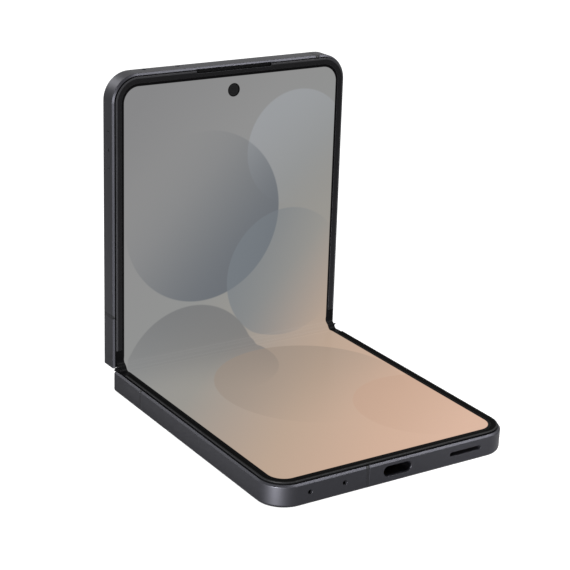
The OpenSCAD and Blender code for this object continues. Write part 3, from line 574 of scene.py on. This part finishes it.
def turned(name, profile, middle, material, steps=64):
    """A closed turned piece of the upper half: profile lists (radius, height) in mm from axis to
    axis, and middle is the axis's place in the half's frame."""
    bm = bmesh.new()
    rings = []
    for radius, height in profile:
        turns = [2 * math.pi * k / steps for k in range(steps)] if radius else [0]
        rings.append([bm.verts.new(UPPER_PLACE @ Vector((
            middle[0] + radius * math.cos(a), middle[1] + radius * math.sin(a), height)) * MM)
            for a in turns])
    for inner, outer in zip(rings, rings[1:]):
        for k in range(steps):
            corners = [inner[k % len(inner)], outer[k % len(outer)],
                       outer[(k + 1) % len(outer)], inner[(k + 1) % len(inner)]]
            bm.faces.new(dict.fromkeys(corners))
    bmesh.ops.recalc_face_normals(bm, faces=bm.faces)
    for face in bm.faces:
        face.smooth = True
    for edge in bm.edges:
        edge.smooth = edge.calc_face_angle(0) < TURNED_CREASE
    data = bpy.data.meshes.new(name)
    bm.to_mesh(data)
    bm.free()
    made = shown_as(name, data, material)
    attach(made, "upper_half")
    return made


def dome(radius, base, rise, steps=8):
    """A lens surface's profile from its rim at height base to its top, rise higher."""
    return [(radius * math.cos(a), base + rise * math.sin(a))
            for a in (math.pi / 2 * k / steps for k in range(steps))] + [(0, base + rise)]


# Profiles of the barrels and the front cover, and the cameras' places in the upper half:
# CAMERA_S is the rear ones' distance from the fold line
REAR_BARREL = [(0, 0), (6.05, 0), (6.05, -0.5), (5.95, -0.6), (4.5, -0.6), (4.4, -0.5),
               (3.7, -0.42), (3.6, -0.3), (2.7, -0.22), (2.6, -0.1), (0, -0.1)]
REAR_LENS = [(0, -0.12), (2.55, -0.12)] + dome(2.5, -0.14, -0.34)
FRONT_BARREL = [(0, 1.9), (1.45, 1.9), (1.45, 6.1), (1.35, 6.2), (1.0, 6.17), (0.9, 6.05),
                (0, 6.05)]
FRONT_COVER = [(0, 6.24), (1.72, 6.24), (1.72, 6.4), (1.66, 6.44), (0, 6.44)]
CAMERA_S, MAIN_X, WIDE_X, FLASH_X = 70.5, 24.3, 9.5, -1.6
for which, camera_x in (("main", MAIN_X), ("wide", WIDE_X)):
    middle = (camera_x, CAMERA_S)
    barrel = turned("rear_%s_barrel" % which, REAR_BARREL, middle, barrel_black)
    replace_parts(barrel, "camera_windows")
    turned("rear_%s_lens" % which, REAR_LENS, middle, lens_coating)

front_barrel = turned("front_camera_barrel", FRONT_BARREL, (0, LENS_S), barrel_black)
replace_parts(front_barrel, "front_camera")
turned("front_camera_cover", FRONT_COVER, (0, LENS_S), smoked_glass)

# The flash lens has round ribs at RIB_PITCH
RIB_PITCH = 0.4
flash_lens, tree = new_material("warm_fresnel_lens")
flash_middle = tuple(UPPER_PLACE @ Vector((FLASH_X, CAMERA_S, 0)) * MM)
outwards = measure(tree, "LENGTH", measure(tree, "SUBTRACT", object_coords(tree), flash_middle))
ribs = maths(tree, "PINGPONG", outwards, RIB_PITCH * MM / 2)
skin(tree, Base_Color=linear("#efe2b8"), Roughness=0.18, Normal=relief(tree, ribs, 0.8, 0.1))
give(flash_lens, "flash_lamp")

# ---- Ports and meshes ----
# The socket is drawn steel, plated with black nickel, and its dark tongue has gold contacts.
# Fine wire meshes stand behind the loudspeaker and earpiece slots, and the microphones behind
# their holes.


def woven(name, colour, pitch):
    """Woven wire mesh: pitch is the distance between wires in millimetres."""
    made, tree = new_material(name)
    half_pitch = pitch * MM / 2
    axes = node(tree, "ShaderNodeSeparateXYZ", Vector=object_coords(tree)).outputs
    across, along = (spread(tree, maths(tree, "PINGPONG", axes[axis], half_pitch), 0.0, 1.0, 0.0,
                            half_pitch) for axis in ("X", "Z"))
    wire = maths(tree, "MAXIMUM", across, along)
    # The colour follows the weave's relief: the openings between the wires are darkened to 0.15,
    # painted shade of the cavity behind.
    skin(tree, Base_Color=shaded(tree, colour, spread(tree, wire, 0.15, 1.0, 0.45, 0.75)),
         Roughness=0.6, Specular_IOR_Level=0.1, Normal=relief(tree, wire, 1.0, pitch * MM * 0.3))
    return made


give(woven("black_woven_wire", "#0b0b0d", 0.22), "loudspeaker_mesh", "earpiece_mesh")


def plated(name, colour, rough, brushed, lay=(1, 1, 12)):
    """Bare or plated sheet metal: brushed is the pitch of its fine marks in mm, stretched by
    lay along the axes."""
    made, tree = new_material(name)
    stretched = node(tree, "ShaderNodeMapping", Vector=object_coords(tree), Scale=lay).outputs[0]
    marks = node(tree, "ShaderNodeTexNoise", Vector=stretched, Scale=1000 / brushed / 4,
                 Detail=3.0).outputs["Fac"]
    skin(tree, Base_Color=shaded(tree, colour, spread(tree, marks, 0.85, 1.1)), Metallic=1.0,
         Roughness=spread(tree, marks, rough * 0.75, rough * 1.25))
    return made


give(plated("black_nickel_socket", "#2c2c31", 0.36, 0.2), "usb_socket")
# The contacts lie side by side at CONTACT_PITCH and start behind the tongue's bare front end
CONTACT_PITCH, CONTACTS_FROM = 0.5, -38.4
tongue, tree = new_material("socket_tongue_with_gold_contacts")
axes = node(tree, "ShaderNodeSeparateXYZ", Vector=object_coords(tree)).outputs
strips = maths(tree, "PINGPONG", axes["X"], CONTACT_PITCH * MM / 2)
gold = maths(tree, "MULTIPLY", maths(tree, "GREATER_THAN", strips, CONTACT_PITCH * MM * 0.3),
             maths(tree, "GREATER_THAN", axes["Y"], CONTACTS_FROM * MM))
skin(tree, Base_Color=blended(tree, gold, linear("#121214"), linear("#b58e45")), Metallic=gold,
     Roughness=0.4)
give(tongue, "usb_tongue")
give(plated("nickel_silver_microphone_can", "#55565a", 0.35, 0.15), "lower_microphones")

# ---- Hinge ----
# Sintered steel blocks and brackets, hard brass idler gears, spring steel friction clips,
# black seals beyond the spine's ends and amber flexible circuits with copper tracks.
give(plated("sintered_hinge_steel", "#9a9ca2", 0.38, 0.12, (1, 1, 1)), "hinge_blocks",
     "lower_hinge_brackets", "upper_hinge_brackets")
give(plated("hard_brass", "#b39355", 0.3, 0.1), *["idler_gear_%d" % n for n in (1, 2, 3, 4)])
give(plated("blued_spring_steel", "#5d6269", 0.28, 0.15), "torque_clips")
give(plated("rolled_support_steel", "#a9abb0", 0.3, 0.3, (1, 20, 20)), "lower_support_plate",
     "upper_support_plate")

# The soft seals beyond the spine's ends, with lips that come close to the screen's edge: their
# outline across the phone and up, in the spine's frame, and their thickness
SEAL_OUTLINE = [(34.85, 1.7), (35.7, 2.6), (37.45, 4.7), (37.45, 6.4), (37.1, 6.75),
                (36.72, 6.75), (36.72, 5.62), (34.85, 5.62)]
SEAL_T = 0.14
bm = bmesh.new()
for side in (-1, 1):
    walls = [[bm.verts.new(SPINE_PLACE @ Vector((side * x, y, z)) * MM) for x, z in SEAL_OUTLINE]
             for y in (-SEAL_T / 2, SEAL_T / 2)]
    for wall in walls:
        bm.faces.new(wall)
    for i, (a, b) in enumerate(zip(*walls)):
        bm.faces.new((walls[0][i - 1], a, b, walls[1][i - 1]))
bmesh.ops.recalc_face_normals(bm, faces=bm.faces)
data = bpy.data.meshes.new("spine_end_lips")
bm.to_mesh(data)
bm.free()
end_lips = shown_as("spine_end_lips", data, black_nylon)
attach(end_lips, "spine")
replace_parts(end_lips, "hinge_end_seals")


def printed(name, ground, track, pitch, share, rough):
    """A circuit's surface: tracks of one colour over the ground, pitch in millimetres."""
    made, tree = new_material(name)
    maze = node(tree, "ShaderNodeTexVoronoi", {"distance": "CHEBYCHEV", "feature": "F1"},
                Vector=object_coords(tree), Scale=1000 / pitch, Randomness=0.7)
    cut = maths(tree, "LESS_THAN", maze.outputs["Distance"], share)
    skin(tree, Base_Color=blended(tree, cut, linear(ground), linear(track)), Roughness=rough,
         Normal=relief(tree, cut, 0.4, 0.00003))
    return made


amber_film = printed("amber_polyimide_circuit", "#7a4b1c", "#8f5a26", 0.6, 0.28, 0.35)
# Each flexible circuit has a stiff pad at both ends: distances from the fold line, and heights
FLEX_END, PAD_TO, FLEX_FROM, FLEX_STEPS = 11.6, 8.62, 8.6, 16
FLEX_TOP, FLEX_UNDER, PAD_UNDER = 4.95, 4.75, 4.4
flex_rows = [(FLEX_END, FLEX_TOP, PAD_UNDER), (PAD_TO, FLEX_TOP, PAD_UNDER),
             (FLEX_FROM, FLEX_TOP, FLEX_UNDER)]
flex_rows += [(BEND_START * (1 - i / FLEX_STEPS), FLEX_TOP, FLEX_UNDER)
              for i in range(FLEX_STEPS + 1)]
for side, flex_sides in (("left", (-11, -3)), ("right", (3, 11))):
    for half, is_upper in (("lower", False), ("upper", True)):
        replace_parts(bend_piece("flex_%s_%s" % (side, half), is_upper, flex_rows, flex_sides,
                               amber_film), "fold_flex")

# ---- Inside the halves ----
# Wrapped battery cells, a wound copper coil, green circuit boards with tinned shield cans,
# nickel-plated magnets and screws, and the card with its reader.
give(printed("green_solder_mask", "#17402c", "#2a5e42", 1.1, 0.3, 0.35), "lower_board",
     "main_board")
give(moulded("black_battery_wrap", "#2e3136", 0.38, 2.5, 0.03), "lower_battery", "upper_battery")
give(plated("tin_plated_can", "#a3a5aa", 0.28, 0.4), "shield_cans", "card_reader",
     "vibration_motor")
give(plated("nickel_plating", "#8d9096", 0.22, 0.2), "lower_magnets", "upper_magnets")
give(plated("passivated_screw_steel", "#b4b6ba", 0.3, 0.08), "lower_screws", "upper_screws")
give(moulded("chip_epoxy", "#222226", 0.5, 0.08), "processor")
give(plated("snap_dome_steel", "#b8bbc0", 0.25, 0.1), "key_switches")

# The coil's middle lies COIL_S from the fold line, and its windings at TURN_PITCH
COIL_S, TURN_PITCH = 38, 0.8
coil_winding, tree = new_material("wound_copper_litz")
local = measure(tree, "SUBTRACT", object_coords(tree), (0, (FOLD_LINE - COIL_S) * MM, 0))
outwards = measure(tree, "LENGTH", measure(tree, "MULTIPLY", local, (1, 1, 0)))
half_turn = TURN_PITCH * MM / 2
turns = maths(tree, "PINGPONG", outwards, half_turn)
# The copper is darkened to 0.45 in the grooves between windings, with its relief: painted shade.
skin(tree, Base_Color=shaded(tree, "#b56c3c", spread(tree, turns, 0.45, 1.0, 0.0, half_turn)),
     Metallic=0.9, Roughness=0.38, Normal=relief(tree, turns, 1.0, 0.6))
give(coil_winding, "charging_coil")

# The card is white, with gold pads on both faces
PAD_W, PAD_H, PAD_GAP = 4.2, 3.6, 0.25
card_face, tree = new_material("white_card_with_gold_pads")
pads = node(tree, "ShaderNodeTexBrick", {"offset": 0.0}, Vector=object_coords(tree),
            Color1=linear("#c39c4e"), Color2=linear("#b8913f"), Mortar=linear("#e4e1d8"),
            Scale=1.0, Mortar_Size=PAD_GAP * MM, Brick_Width=PAD_W * MM, Row_Height=PAD_H * MM)
skin(tree, Base_Color=pads.outputs["Color"], Roughness=0.4)
give(card_face, "phone_card")
